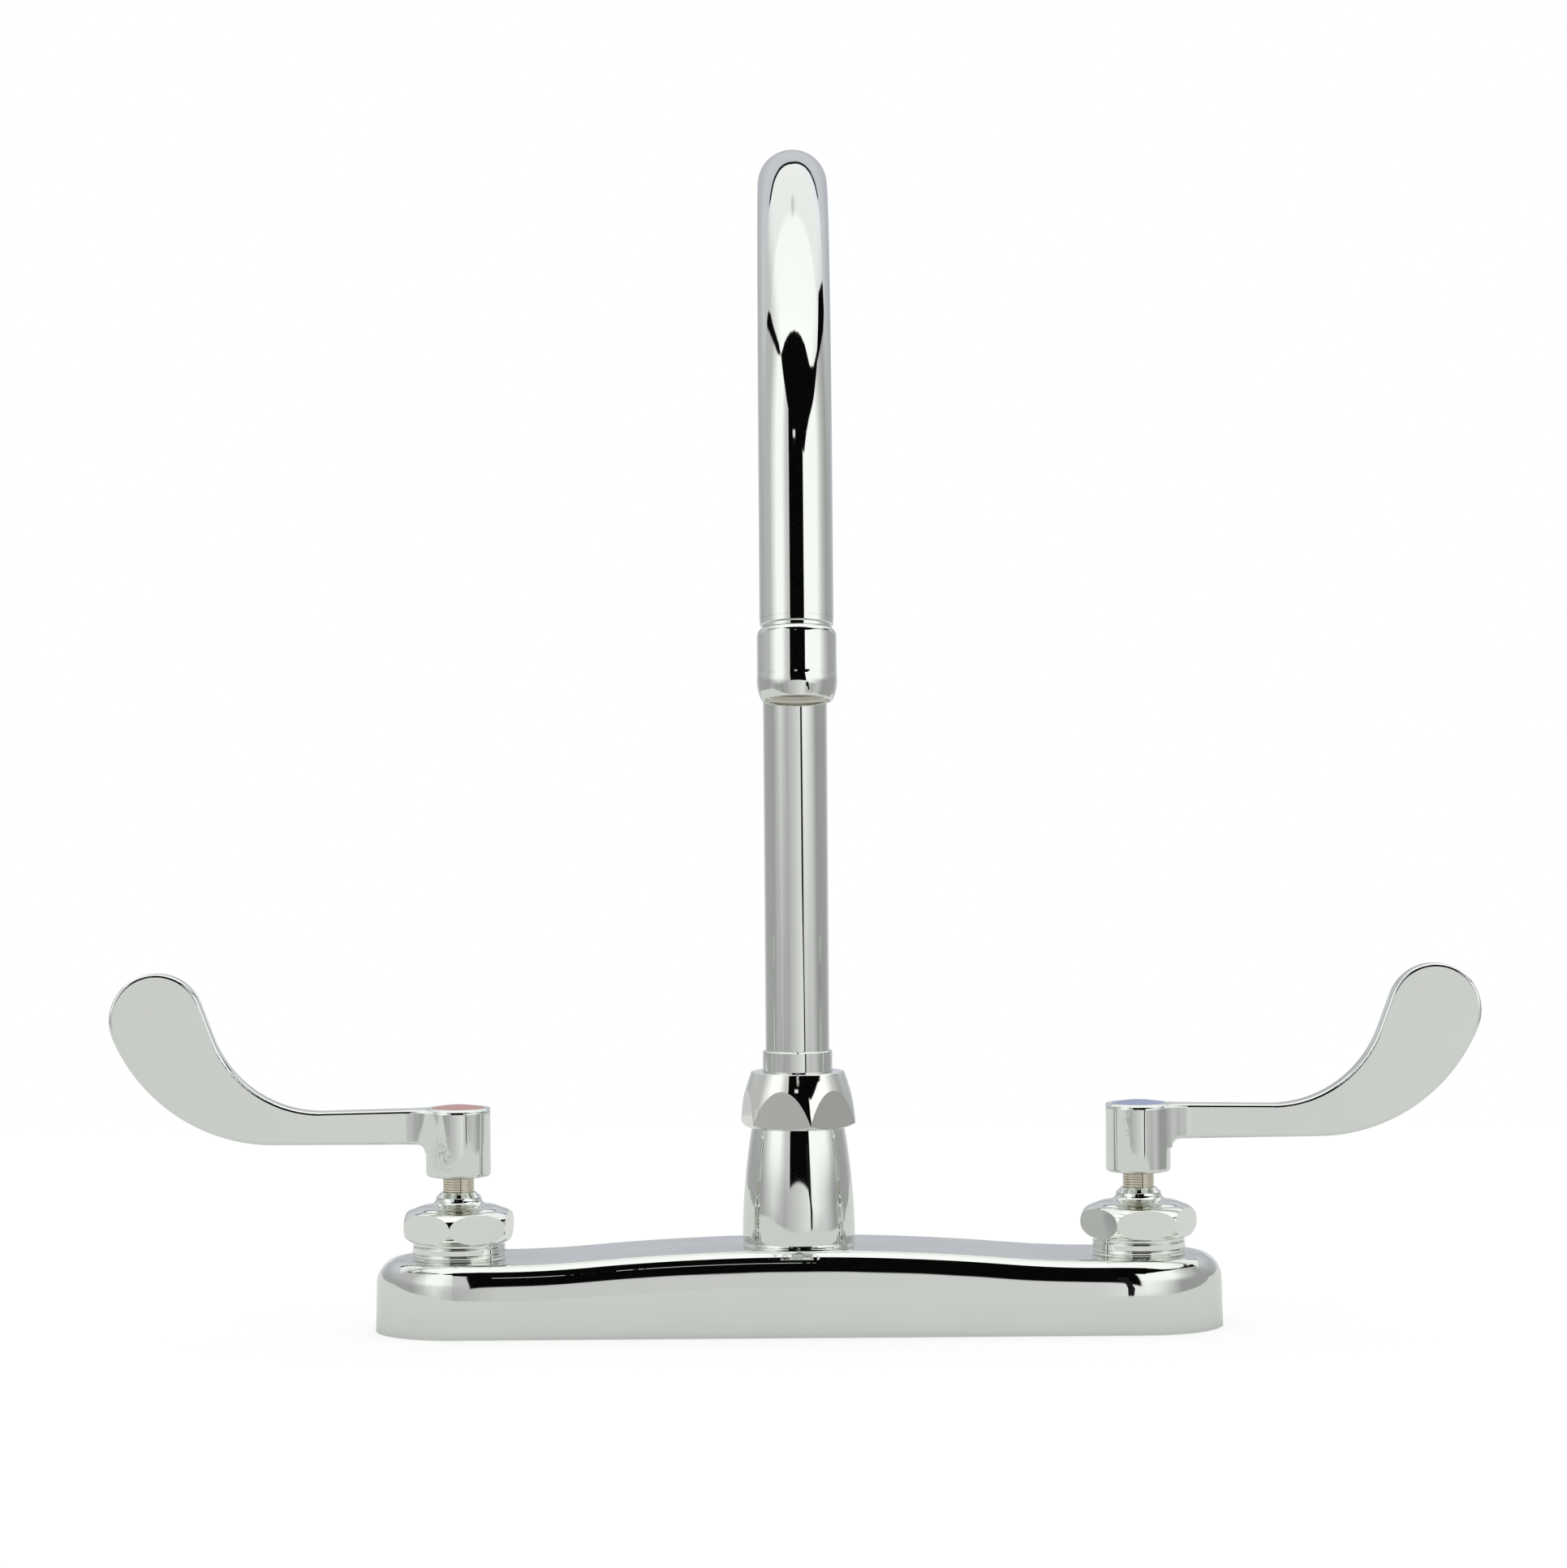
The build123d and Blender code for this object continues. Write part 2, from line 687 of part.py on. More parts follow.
def aerator_housing():
    """The aerator's shell: round-shouldered barrel, thread and an inward lip at the mouth."""
    rim = (aerator_rim_radius, 0)
    bow_radius = (aerator_rim_radius + aerator_radius) / 2 + aerator_bow
    waist = (aerator_radius, aerator_taper_height)
    shoulder = (aerator_radius, aerator_height - aerator_shoulder_height)
    top = (aerator_radius - aerator_chamfer, aerator_height)
    outline = [
        Line((0, 0), rim),
        ThreePointArc(rim, (bow_radius, aerator_taper_height / 3), waist),
        Line(waist, shoulder),
        TangentArc(shoulder, top, tangent=(0, 1)),
        Line(top, (0, aerator_height)),
        Line((0, aerator_height), (0, 0)),
    ]
    shell = revolve(make_face(Plane.XZ * Curve(outline)), axis=Axis.Z)
    shell -= rod(aerator_lip_radius, -1, aerator_height)
    shell -= rod(aerator_bore_radius, aerator_lip_height, aerator_height)
    shell -= rod(adapter_reveal_radius + thread_gap, adapter_thread_start, aerator_height + 1)
    return at_outlet(shell)


def aerator_washer():
    """The flat washer between the insert and the adapter."""
    low = insert_start + insert_height + seat_gap
    return at_outlet(
        ring(aerator_bore_radius - running_gap, adapter_bore_radius, low, low + aerator_washer_thickness)
    )


def aerator_insert():
    """The flow former: a stepped cup with a ring of jets and a recess for the screen."""
    top = insert_start + insert_height
    body = rod(aerator_lip_radius - running_gap, insert_start, top)
    body += rod(aerator_bore_radius - running_gap, aerator_lip_height + seat_gap, top)
    body -= rod(screen_radius + running_gap, 0, insert_start + screen_recess + screen_thickness)
    body -= rod(insert_cup_radius, insert_start, top - insert_floor)
    for jet in PolarLocations(insert_hole_circle, insert_hole_count):
        body -= jet * rod(insert_hole_radius, 0, top + 1)
    return at_outlet(body)


def aerator_screen():
    """The screen disc across the mouth."""
    low = insert_start + screen_recess - seat_gap
    return at_outlet(rod(screen_radius, low, low + screen_thickness))


# Assembly


def at_valves(name, build):
    """The hot and cold copies of a piece that is modelled on the Z axis."""
    piece = build()
    return {
        f"hot_{name}": Pos(-valve_x, 0, 0) * piece,
        f"cold_{name}": Pos(valve_x, 0, 0) * piece,
    }


def handles():
    """The two handles, mirror images, each set on its stem's spline at its own small turn."""
    cold = handle()
    hot = mirror(cold, about=Plane.YZ)
    return {
        "hot_handle": Pos(-valve_x, 0, 0) * Rot(0, 0, hot_handle_turn) * hot,
        "cold_handle": Pos(valve_x, 0, 0) * Rot(0, 0, cold_handle_turn) * cold,
    }


def all_pieces():
    """Every piece of the faucet by name, in place."""
    pieces = {"base_casting": base_casting()}
    pieces |= at_valves("shank", shank)
    pieces |= at_valves("deck_washer", deck_washer)
    pieces |= at_valves("locknut", locknut)
    pieces["hot_bonnet"] = Pos(-valve_x, 0, 0) * bonnet(hot_bonnet_turn)
    pieces["cold_bonnet"] = Pos(valve_x, 0, 0) * bonnet(cold_bonnet_turn)
    pieces |= at_valves("cartridge_body", cartridge_body)
    pieces |= at_valves("fixed_disc", fixed_disc)
    pieces |= at_valves("seat_seal", seat_seal)
    pieces |= at_valves("stem", stem)
    pieces |= at_valves("moving_disc", moving_disc)
    pieces |= at_valves("stem_oring", stem_oring)
    pieces |= at_valves("stem_clip", stem_clip)
    pieces |= handles()
    pieces |= at_valves("handle_screw", handle_screw)
    pieces |= at_valves("index_button", index_button)
    pieces["spout_nut"] = spout_nut()
    pieces["spout_bearing_washer"] = spout_bearing_washer()
    pieces["spout_collar"] = spout_collar()
    pieces["spout_lower_oring"] = spout_oring(spout_seal_positions[0])
    pieces["spout_upper_oring"] = spout_oring(spout_seal_positions[1])
    pieces["spout_tube"] = spout_tube()
    pieces["outlet_adapter"] = outlet_adapter()
    pieces["aerator_housing"] = aerator_housing()
    pieces["aerator_washer"] = aerator_washer()
    pieces["aerator_insert"] = aerator_insert()
    pieces["aerator_screen"] = aerator_screen()
    return pieces


os.makedirs("parts", exist_ok=True)
for name, piece in all_pieces().items():
    export_step(piece, f"parts/{name}.step")
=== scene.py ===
import json
import math

import bpy
import numpy as np
from mathutils import Matrix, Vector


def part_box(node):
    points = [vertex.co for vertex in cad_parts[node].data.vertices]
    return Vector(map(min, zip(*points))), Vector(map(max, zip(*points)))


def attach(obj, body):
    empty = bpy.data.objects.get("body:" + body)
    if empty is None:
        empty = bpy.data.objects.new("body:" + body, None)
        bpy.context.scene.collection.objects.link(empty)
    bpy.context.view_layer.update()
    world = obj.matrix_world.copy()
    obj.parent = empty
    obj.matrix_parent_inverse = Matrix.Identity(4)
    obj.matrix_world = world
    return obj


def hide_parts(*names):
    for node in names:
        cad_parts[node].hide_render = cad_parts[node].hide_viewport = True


# A deck-mounted faucet: plated casting, gooseneck spout and wrist blade handles, in a small light tent.
# Metres. The deck is z = 0, +Z is up, +X is to the user's right and -Y faces the user.

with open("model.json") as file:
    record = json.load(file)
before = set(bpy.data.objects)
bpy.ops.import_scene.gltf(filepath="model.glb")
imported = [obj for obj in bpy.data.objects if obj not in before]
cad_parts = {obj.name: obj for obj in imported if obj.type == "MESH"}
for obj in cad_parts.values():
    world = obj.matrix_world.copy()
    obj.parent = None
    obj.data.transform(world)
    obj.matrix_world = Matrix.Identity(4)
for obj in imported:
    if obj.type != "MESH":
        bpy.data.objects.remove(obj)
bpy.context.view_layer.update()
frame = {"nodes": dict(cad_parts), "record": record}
nodes = frame["nodes"]

# Camera
camera_place = (-0.0040, -1.4181, 0.1964)
camera_lens = 109.17
camera_pitch = 1.382
camera_yaw = -0.017
camera_roll = -0.435

# Light tent: the distance of its dark strip in front of the faucet, the chrome's share of the light, and the
# middle of the small lamp in the dark opening, as azimuth and elevation in degrees
tail_distance = 0.69
chrome_share = 0.80
lamp_azimuth, lamp_elevation = -3.5, 28.6

# Sizes in mm that the finishes follow: the valves, the casting's crowned top, the bosses, the hubs and the skirts
valve_x = 101.6
crown_top, crown_drop, crown_reach = 25.3, 2.62, 62.0
end_top, shoulder_rise, shoulder_end = 21.5, 1.18, 90.0
turn_start, base_half = 88.0, 126.5
rim_depth, rim_reach = 17.6, 118.0
boss_top, skirt_top = 21.9, 26.1
hub_low, hub_top, hub_radius = 45.8, 66.2, 9.65


# Shader arithmetic


class Signal:
    """A shader socket that takes part in arithmetic: each operator adds one Math node."""

    def __init__(self, tree, socket):
        self.tree = tree
        self.socket = socket

    def node(self, kind, settings=None, inputs=None, output=0):
        """Adds a node of a kind, sets it up, feeds its sockets and returns one of its outputs."""
        made = self.tree.nodes.new(kind)
        for key, value in (settings or {}).items():
            if key == "stops":
                set_stops(made.color_ramp, value)
            else:
                setattr(made, key, value)
        for key, value in (inputs or {}).items():
            feed(self.tree, made.inputs[key], value)
        return Signal(self.tree, made.outputs[output])

    def math(self, operation, *values):
        """One Math node on this signal and further values."""
        terms = dict(enumerate((self, *values)))
        return self.node("ShaderNodeMath", {"operation": operation}, terms)

    def __add__(self, other):
        return self.math("ADD", other)

    __radd__ = __add__

    def __mul__(self, other):
        return self.math("MULTIPLY", other)

    __rmul__ = __mul__

    def __sub__(self, other):
        return self.math("SUBTRACT", other)

    def __rsub__(self, other):
        return self * -1 + other

    def __truediv__(self, other):
        return self.math("DIVIDE", other)

    def __lt__(self, other):
        return self.math("LESS_THAN", other)

    def __gt__(self, other):
        return self.math("GREATER_THAN", other)

    def sine(self):
        return self.math("SINE")

    def clamped(self):
        return self.node("ShaderNodeClamp", inputs={"Value": self})

    def smooth(self, low, high, start=0.0, end=1.0):
        """Goes smoothly from start to end as this signal goes from low to high."""
        inputs = {"Value": self, "From Min": low, "From Max": high, "To Min": start, "To Max": end}
        return self.node("ShaderNodeMapRange", {"interpolation_type": "SMOOTHSTEP"}, inputs)

    def ramp(self, stops):
        """The colour of a ramp at this signal, from (position, colour) stops."""
        return self.node("ShaderNodeValToRGB", {"stops": stops}, {"Fac": self})

    def mixed(self, first, second):
        """A colour that goes from first to second as this signal goes from 0 to 1."""
        mix = self.node("ShaderNodeMix", {"data_type": "RGBA"}).socket.node
        for key, value in {"Factor": self, "A": first, "B": second}.items():
            feed(self.tree, live_socket(mix.inputs, key), value)
        return Signal(self.tree, live_socket(mix.outputs, "Result"))


def live_socket(sockets, name):
    """The enabled socket of a name, where a node has several of that name."""
    return next(s for s in sockets if s.name == name and s.enabled)


def feed(tree, socket, value):
    """Links a signal to a socket, or sets the socket's own value."""
    if isinstance(value, Signal):
        tree.links.new(value.socket, socket)
        return
    if isinstance(value, tuple) and len(value) == 3 and socket.type == "RGBA":
        value = (*value, 1.0)
    socket.default_value = value


def set_stops(color_ramp, stops):
    """Gives a ramp its (position, grey or colour) stops."""
    while len(color_ramp.elements) < len(stops):
        color_ramp.elements.new(1.0)
    for element, (position, colour) in zip(color_ramp.elements, stops):
        if isinstance(colour, (int, float)):
            colour = (colour, colour, colour)
        element.position = position
        element.color = (*colour, 1.0)


def split(vector):
    """The three components of a vector signal."""
    owner = vector.node("ShaderNodeSeparateXYZ", inputs={0: vector}).socket.node
    return [Signal(vector.tree, owner.outputs[i]) for i in range(3)]


class Finish:
    """A material whose varying inputs are signals and whose constants sit on the shader's own sockets."""

    def __init__(self, name):
        self.material = bpy.data.materials.new(name)
        self.material.use_nodes = True
        self.tree = self.material.node_tree
        self.shader = self.tree.nodes["Principled BSDF"]

    def place(self, scale=1.0):
        """Object coordinates, in metres times a scale."""
        start = Signal(self.tree, self.tree.nodes.new("ShaderNodeTexCoord").outputs["Object"])
        inputs = {0: start, "Scale": scale}
        return start.node("ShaderNodeVectorMath", {"operation": "SCALE"}, inputs)

    def axes(self, scale=1.0):
        """The three Object coordinates as signals."""
        return split(self.place(scale))

    def noise(self, scale, detail=2.0, roughness=0.5):
        """A soft noise from 0 to 1 with features about 1/scale metres wide."""
        place = self.place()
        inputs = {"Vector": place, "Scale": scale, "Detail": detail, "Roughness": roughness}
        return place.node("ShaderNodeTexNoise", inputs=inputs)

    def set(self, **values):
        """Feeds the shader's sockets, named with underscores for spaces."""
        for key, value in values.items():
            feed(self.tree, self.shader.inputs[key.replace("_", " ")], value)
        return self

    def bump(self, height, distance, strength=1.0, normal=None):
        """Adds a relief of a height signal and a depth in metres, on a given normal if there is one."""
        inputs = {"Height": height, "Distance": distance, "Strength": strength}
        if normal is not None:
            inputs["Normal"] = normal
        relief = height.node("ShaderNodeBump", inputs=inputs)
        return self.set(Normal=relief)

    def geometry_normal(self):
        """The surface's own normal."""
        return Signal(self.tree, self.tree.nodes.new("ShaderNodeNewGeometry").outputs["Normal"])


# Finishes

# The casting's upper edge as it was polished: the normal's upward tilt in degrees by the depth in mm below the
# top, and its turn round the ends by the distance in mm from the middle.
edge_tilts = [
    (0, 88), (0.3, 70), (0.9, 51), (1.8, 34), (3, 20.5), (4.4, 11.2), (5.8, 6.05), (7.2, 4.9), (9, 3.6),
    (11.5, 2.45), (15, 2.0), (25, 1.6),
]
end_turns = [(88, 0), (94, 4.2), (100.2, 11), (103, 13), (106, 13), (112, 11.5), (118, 9.2), (126.5, 0)]


def bend(distance, angles, first, last):
    """The angle in radians at a distance between a first and a last one, from (distance, degrees) pairs."""
    span = last - first
    stops = [((at - first) / span, degrees / 90) for at, degrees in angles]
    return ((distance - first) / span).clamped().ramp(stops) * math.radians(90)


def polished_form(finish):
    """The casting's normal with its upper edge and ends bent as the polished metal's are."""
    x, y, z = finish.axes(1000.0)
    nx, ny, nz = split(finish.geometry_normal())
    far = x.math("ABSOLUTE")
    crown = crown_top - far * far * (crown_drop / crown_reach**2)
    shoulder = (shoulder_end - far).math("MAXIMUM", 0.0) / (shoulder_end - crown_reach)
    beyond = far > crown_reach
    top = crown * (1 - beyond) + (end_top + shoulder_rise * shoulder * shoulder) * beyond
    depth = top - z
    tilt = bend(depth, edge_tilts, 0.0, edge_tilts[-1][0])
    turn = bend(far, end_turns, turn_start, base_half)
    level = (nx * nx + ny * ny).math("SQRT").math("MAXIMUM", 0.02)
    across, ahead = nx.math("ABSOLUTE") / level, ny.math("ABSOLUTE") / level
    sine, cosine = turn.sine(), turn.math("COSINE")
    new_x = (across * cosine + ahead * sine) * x.math("SIGN") * tilt.math("COSINE")
    new_y = (ahead * cosine - across * sine) * y.math("SIGN") * tilt.math("COSINE")
    parts = {"X": new_x, "Y": new_y, "Z": tilt.sine()}
    bent = depth.node("ShaderNodeCombineXYZ", inputs=parts)
    rim = (y.math("ABSOLUTE") > rim_depth).math("MAXIMUM", far > rim_reach)
    share = depth.smooth(0.03, 0.6) * rim * (z > 0.2)
    return share.mixed(finish.geometry_normal(), bent)


def plated_chrome(name, swell, swell_depth, relief=None, form=None, tint=(0.795, 0.822, 0.785)):
    """Bright chrome plate: a faint tone drift, a little haze and a low swell in the polished metal.

    A relief gives further heights in mm and a darkening, which is real stain on the blades and painted shade in the
    nuts' upper groove, and a form gives the normal.
    """
    finish = Finish(name)
    cloud = finish.noise(38.0, 3.0)
    dust = finish.noise(900.0, 2.0)
    height = finish.noise(swell, 1.0, 0.4) * swell_depth
    darker = tuple(0.94 * c for c in tint)
    colour = cloud.mixed(darker, tint)
    haze = 0.028 + 0.03 * dust * cloud
    if relief:
        heights, stain = relief(finish)
        height = height + heights
        # The darkening: real stain from the blades' relief, painted shade from the nuts' relief.
        colour = stain.mixed(colour, tuple(0.5 * c for c in tint))
        haze = haze + 0.2 * stain
    finish.set(Metallic=1.0, Base_Color=colour, Roughness=haze)
    return finish.bump(height, 0.001, 1.0, form and form(finish)).material


def from_valve(finish):
    """Coordinates in mm from the nearer valve's axis: outwards, back and up."""
    x, y, z = finish.axes(1000.0)
    return x - x.math("SIGN") * valve_x, x.math("ABSOLUTE") - valve_x, y, z


def bell(value, middle, width):
    """A smooth hump from 0 to 1 of a half width round a middle."""
    return (value - middle).math("ABSOLUTE").smooth(0.0, width, 1.0, 0.0)


def rounded(distance, radius):
    """The drop in mm of an edge rounded to a radius, by the distance in mm past the start of the round."""
    past = distance.math("MAXIMUM", 0.0).math("MINIMUM", 0.97 * radius)
    return (radius * radius - past * past).math("SQRT") - radius


def blade_relief(finish):
    """The blades' polished bow, and the scuffs that the plating shows on both hubs."""
    across, outward, y, z = from_valve(finish)
    x = finish.axes(1000.0)[0]
    bow = (outward - 15.0).math("MAXIMUM", 0.0) * 0.105
    radius = (across * across + y * y).math("SQRT")
    rims = rounded(z - (hub_top - 1.5), 1.5) + rounded(hub_low + 1.0 - z, 1.0)
    rims = rims + rounded(radius - (hub_radius - 1.4), 1.4)
    hub = (radius < hub_radius + 0.35) * rims
    vein = (finish.noise(620.0, 4.0, 0.6) - 0.5).math("ABSOLUTE").smooth(0.012, 0.05, 1.0, 0.0)
    left = bell(x, -105.8, 3.8) * bell(z, 53.0, 6.5) * (y < -2.0)
    right = bell(x, 98.0, 1.4) * bell(z, 61.0, 4.2) * (y < -2.0)
    scratch = bell(z + x * 0.36, 7.4, 0.45) * bell(x, -171.0, 7.0) * (y < 0.0)
    stain = vein * (left + right).clamped() * 0.8 + scratch * 0.08
    return bow + hub - stain * 0.04, stain


def nut_relief(finish):
    """Turned grooves round the bonnets' skirts, whose sides stand upright between them, with painted shade in the
    upper groove.
    """
    _, outward, _, z = from_valve(finish)
    skirt = (outward > -30.0) * (z < skirt_top)
    slope = (z - boss_top) * 0.1
    grooves = bell(z, 25.2, 0.45) * 0.16 + bell(z, 22.9, 0.4) * 0.1
    # The second value is painted shade: a darker, rougher ring in the upper groove.
    return skirt * (slope - grooves), bell(z, 25.2, 0.25) * skirt * 0.5


def plain_brass(name, colour, roughness):
    """Machined brass with fine turning lines round the vertical axis."""
    finish = Finish(name)
    lines = (finish.axes()[2] * 9000.0).sine() * 0.5 + 0.5
    cloud = finish.noise(120.0, 3.0)
    dull = tuple(0.72 * c for c in colour)
    finish.set(
        Metallic=1.0,
        Base_Color=cloud.mixed(dull, colour),
        Roughness=roughness + 0.12 * cloud,
    )
    return finish.bump(lines, 0.00002, 0.6).material


def splined_stem(name):
    """Nickel tinted brass: turned rings on the front, a plain flank and a slot between them, with painted shade that
    darkens the rings and the slot's line.
    """
    finish = Finish(name)
    across, _, y, z = from_valve(finish)
    cloud = finish.noise(500.0, 3.0)
    ringed = across.smooth(0.8, 1.0, 1.0, 0.35)
    rings = (z * (2 * math.pi / 0.76)).sine().smooth(0.72, 0.98) * ringed
    slot = bell(across, 0.92, 0.28) * (y < 0.0)
    # Painted shade: the rings and the slot line darken the colour almost to black.
    grooves_and_shade = rings.math("MAXIMUM", slot)
    metal = cloud.mixed((0.64, 0.58, 0.45), (0.82, 0.78, 0.66))
    finish.set(
        Metallic=1.0,
        Base_Color=grooves_and_shade.mixed(metal, (0.13, 0.11, 0.08)),
        Roughness=0.2 + 0.16 * cloud + 0.2 * grooves_and_shade,
    )
    return finish.bump(grooves_and_shade * -1, 0.00012, 0.8).material


def zinc_steel(name):
    """Zinc plated steel with a soft spangle."""
    finish = Finish(name)
    spangle = finish.noise(400.0, 4.0, 0.7)
    finish.set(
        Metallic=1.0,
        Base_Color=spangle.mixed((0.44, 0.45, 0.46), (0.66, 0.67, 0.68)),
        Roughness=0.26 + 0.2 * spangle,
    )
    return finish.bump(spangle, 0.00002, 0.5).material


def black_rubber(name):
    """Matte black rubber with a fine bloom."""
    finish = Finish(name)
    bloom = finish.noise(700.0, 4.0, 0.65)
    finish.set(
        Base_Color=bloom.mixed((0.018, 0.018, 0.019), (0.05, 0.05, 0.05)),
        Roughness=0.55 + 0.25 * bloom,
    )
    return finish.bump(bloom, 0.00003, 0.6).material


def lapped_ceramic(name):
    """White lapped ceramic."""
    finish = Finish(name)
    grain = finish.noise(2200.0, 2.0)
    finish.set(
        Base_Color=grain.mixed((0.84, 0.82, 0.78), (0.93, 0.92, 0.89)),
        Roughness=0.18 + 0.12 * grain,
    )
    return finish.bump(grain, 0.000005, 0.4).material


def natural_nylon(name):
    """Off-white moulded nylon."""
    finish = Finish(name)
    cloud = finish.noise(260.0, 3.0)
    finish.set(
        Base_Color=cloud.mixed((0.72, 0.70, 0.62), (0.86, 0.85, 0.79)),
        Roughness=0.42 + 0.14 * cloud,
    )
    return finish.bump(cloud, 0.00002, 0.4).material


def index_plastic(name, colour, shade):
    """The satin moulded plastic of an index button."""
    finish = Finish(name)
    cloud = finish.noise(210.0, 4.0, 0.6)
    grain = finish.noise(2600.0, 2.0)
    finish.set(
        Base_Color=cloud.mixed(shade, colour),
        Roughness=0.36 + 0.16 * grain,
    )
    return finish.bump(grain, 0.00001, 0.5).material


def screen_mesh(name):
    """Fine woven screen: crossing wires, with painted shade in the gaps between them."""
    finish = Finish(name)
    x, y, _ = finish.axes()
    pitch = 2 * math.pi / 0.00062
    over = (x * pitch).sine().math("ABSOLUTE")
    under = (y * pitch).sine().math("ABSOLUTE")
    wire = over.math("MAXIMUM", under).smooth(0.35, 0.9)
    # Painted shade: the gaps between the wires are coloured almost black.
    finish.set(
        Metallic=0.7,
        Base_Color=wire.mixed((0.045, 0.04, 0.03), (0.40, 0.37, 0.29)),
        Roughness=0.5 - 0.15 * wire,
    )
    return finish.bump(wire, 0.00008, 0.7).material


finishes = {
    "chrome_casting": plated_chrome("chrome_casting", 46.0, 0.07, form=polished_form),
    "chrome_nut": plated_chrome("chrome_nut", 90.0, 0.02, nut_relief, tint=(0.85, 0.87, 0.83)),
    "chrome_tube": plated_chrome("chrome_tube", 40.0, 0.02),
    "chrome_handle": plated_chrome("chrome_handle", 70.0, 0.05, blade_relief),
    "brass": plain_brass("brass", (0.74, 0.60, 0.38), 0.22),
    "stem_brass": splined_stem("stem_brass"),
    "steel": zinc_steel("steel"),
    "rubber": black_rubber("rubber"),
    "ceramic": lapped_ceramic("ceramic"),
    "nylon": natural_nylon("nylon"),
    "red_plastic": index_plastic("red_plastic", (0.53, 0.29, 0.27), (0.45, 0.24, 0.23)),
    "blue_plastic": index_plastic("blue_plastic", (0.31, 0.36, 0.54), (0.26, 0.30, 0.46)),
    "screen": screen_mesh("screen"),
}
for subpart in frame["record"]["subparts"]:
    nodes[subpart["node"]].material_slots[0].material = finishes[subpart["material_slot"]]


# Index buttons


def turned_cap(name, outline, centre, material):
    """A closed turned piece: points at angle a and outline point (r, h) are centre + (r cos a, r sin a, h)."""
    turns = 96
    angle = np.linspace(0.0, 2 * math.pi, turns, endpoint=False)
    radius, height = np.array(outline[1:-1]).T
    rings = np.stack([
        np.outer(radius, np.cos(angle)), np.outer(radius, np.sin(angle)), np.outer(height, np.ones(turns))
    ], axis=-1).reshape(-1, 3)
    ends = np.array([(0.0, 0.0, outline[0][1]), (0.0, 0.0, outline[-1][1])])
    points = np.concatenate([rings, ends]) + np.array(centre)
    here = np.arange(turns)
    after = (here + 1) % turns
    rows = np.arange(len(radius) - 1)[:, None] * turns
    quads = np.stack([rows + here, rows + turns + here, rows + turns + after, rows + after], axis=-1).reshape(-1, 4)
    last = (len(radius) - 1) * turns
    top, bottom = len(rings), len(rings) + 1
    upper = np.stack([np.full(turns, top), here, after], axis=-1)
    lower = np.stack([np.full(turns, bottom), last + after, last + here], axis=-1)
    mesh = bpy.data.meshes.new(name)
    mesh.from_pydata(points.tolist(), [], quads.tolist() + upper.tolist() + lower.tolist())
    mesh.polygons.foreach_set("use_smooth", np.ones(len(mesh.polygons), dtype=bool))
    mesh.materials.append(material)
    piece = bpy.data.objects.new(name, mesh)
    bpy.context.scene.collection.objects.link(piece)
    return piece


def index_cap(side, slot):
    """The index button with the photographed crown, in its recess in the hub."""
    node = f"{side}_index_button"
    low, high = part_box(node)
    crown = 0.0009
    rim = high[2] - 0.0003
    radius = (high[0] - low[0]) / 2
    bend = np.linspace(0.0, 1.0, 12)
    dome = [(radius * 0.97 * b, rim + crown * (1 - b * b)) for b in bend]
    edge = [(radius * 0.99, rim - 0.0001), (radius, rim - 0.0004), (radius, low[2] + 0.0002), (radius * 0.98, low[2])]
    centre = ((low[0] + high[0]) / 2, (low[1] + high[1]) / 2, 0.0)
    cap = turned_cap(f"{side}_index_cap", dome + edge + [(0.0, low[2])], centre, finishes[slot])
    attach(cap, f"{side}_handle_set")
    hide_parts(node)


index_cap("hot", "red_plastic")
index_cap("cold", "blue_plastic")


# Light tent: what the chrome reflects


def stage_piece(name, points, faces, material):
    """A staged surface from corner points and faces."""
    mesh = bpy.data.meshes.new(name)
    mesh.from_pydata(points, [], faces)
    mesh.materials.append(material)
    piece = bpy.data.objects.new(name, mesh)
    bpy.context.scene.collection.objects.link(piece)
    return piece


def reflected_only(piece):
    """Keeps a tent panel out of the direct view and the diffuse light, so only polished metal shows it."""
    piece.visible_camera = False
    piece.visible_diffuse = False
    piece.visible_shadow = False
    piece.visible_transmission = False
    return piece


def glow(name, strength):
    """The material of a panel that gives off an even light."""
    material = bpy.data.materials.new(name)
    material.use_nodes = True
    tree = material.node_tree
    tree.nodes.clear()
    emission = tree.nodes.new("ShaderNodeEmission")
    emission.inputs["Strength"].default_value = strength
    out = tree.nodes.new("ShaderNodeOutputMaterial")
    tree.links.new(emission.outputs[0], out.inputs["Surface"])
    return material


def tone(value):
    """The light that shows as an 8-bit screen tone after the chrome has taken its share."""
    s = value / 255
    linear = s / 12.92 if s < 0.04045 else ((s + 0.055) / 1.055) ** 2.4
    return linear / chrome_share


# The tent's panels as the chrome shows them, by azimuth in degrees from the camera's side: grey behind, a bright
# panel on each side and a duller front. The upper ring is above the table's horizon and the lower one below it.
high_walls = [
    (-180, 170), (-90, 180), (-65, 250), (-45, 250), (-30, 195), (0, 190), (25, 250), (70, 250), (90, 190),
    (110, 155), (130, 175), (180, 170),
]
low_walls = [
    (-180, 215), (-135, 160), (-85, 155), (-55, 215), (-30, 170), (15, 220), (35, 240), (55, 215), (80, 150),
    (130, 155), (180, 215),
]
apron_tones = [(-30, 170), (0, 200), (20, 220)]

# Share of light that the walls' two bright peaks lose towards the table, by azimuth.
peak_losses = [
    (-180, 0.0), (-80, 0.0), (-62, 0.33), (-44, 0.33), (-32, 0.08), (20, 0.08), (30, 0.33), (46, 0.33),
    (62, 0.1), (80, 0.0), (180, 0.0),
]

